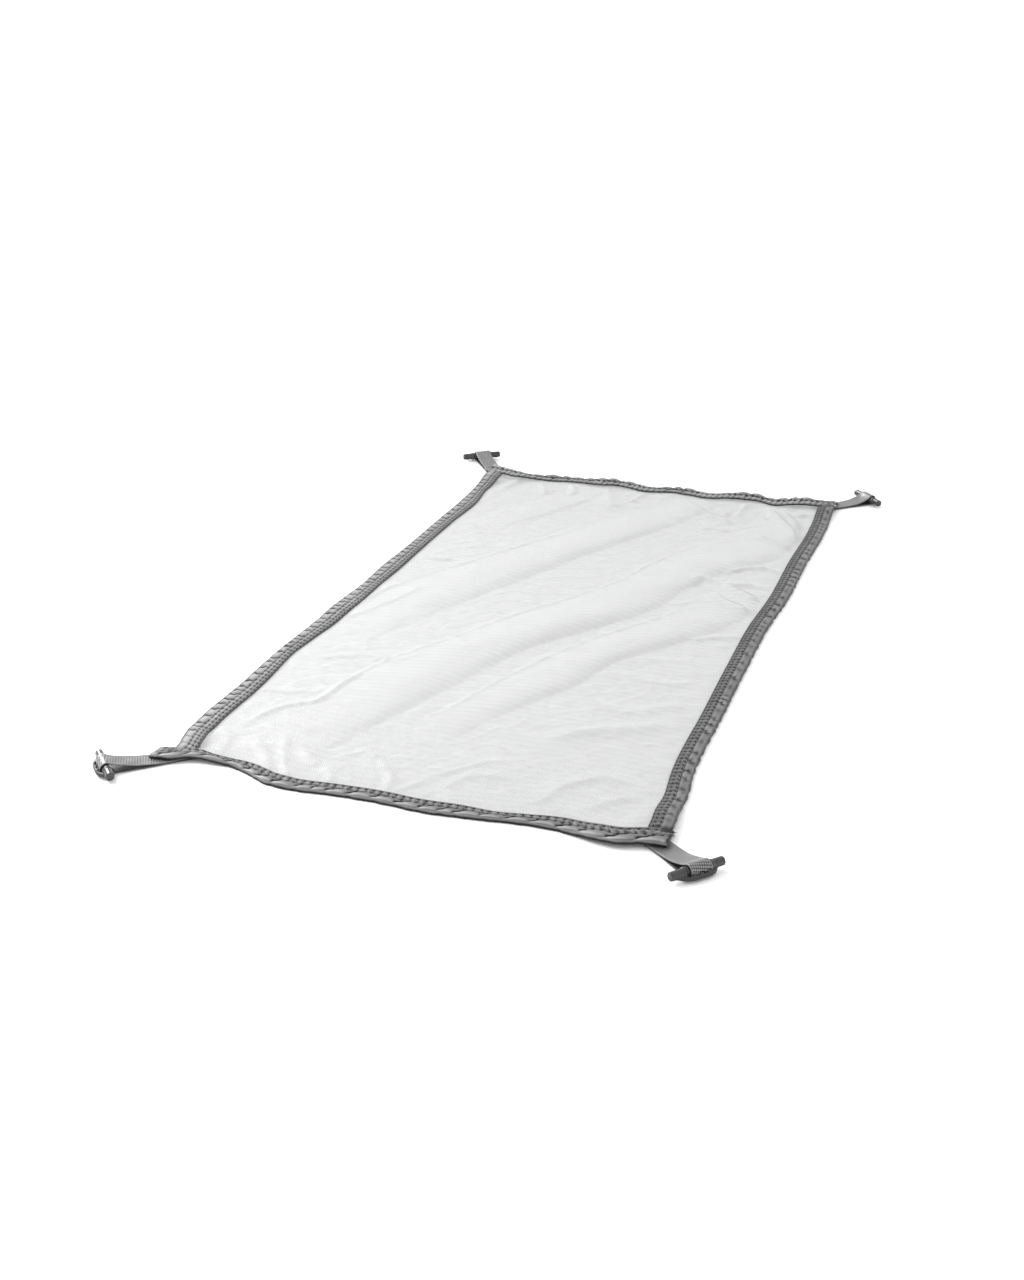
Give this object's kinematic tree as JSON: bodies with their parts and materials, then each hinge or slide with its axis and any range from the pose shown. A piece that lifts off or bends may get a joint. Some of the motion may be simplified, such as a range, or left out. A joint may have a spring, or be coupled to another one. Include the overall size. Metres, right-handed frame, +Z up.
{
  "type": "gear loft",
  "caption": "Rectangular sheer mesh loft with woven binding on its edges and a webbing loop with a moulded toggle at each corner, lying flat with soft folds.",
  "frame": {"origin": "on the surface that the loft lies on, under the middle of the whole loft, toggles included", "axes": "+Y along the length of the loft, away from the viewer of the picture; +X across its width, to the right; +Z up from the surface"},
  "size_m": [0.4276, 0.7648, 0.013],
  "materials": {
    "mesh": "fine sheer white netting",
    "binding": "matt grey woven tape, puckered by its stitching",
    "webbing": "matt grey twill webbing",
    "toggle": "smooth dark grey moulded plastic, semi-gloss"
  },
  "bodies": {
    "root": {"mesh_panel": "mesh", "binding_near": "binding", "binding_right": "binding", "binding_far": "binding", "binding_left": "binding", "webbing_near_left": "webbing", "webbing_near_right": "webbing", "webbing_far_left": "webbing", "webbing_far_right": "webbing", "toggle_near_left": "toggle", "toggle_near_right": "toggle", "toggle_far_left": "toggle", "toggle_far_right": "toggle"}
  },
  "joints": []
}
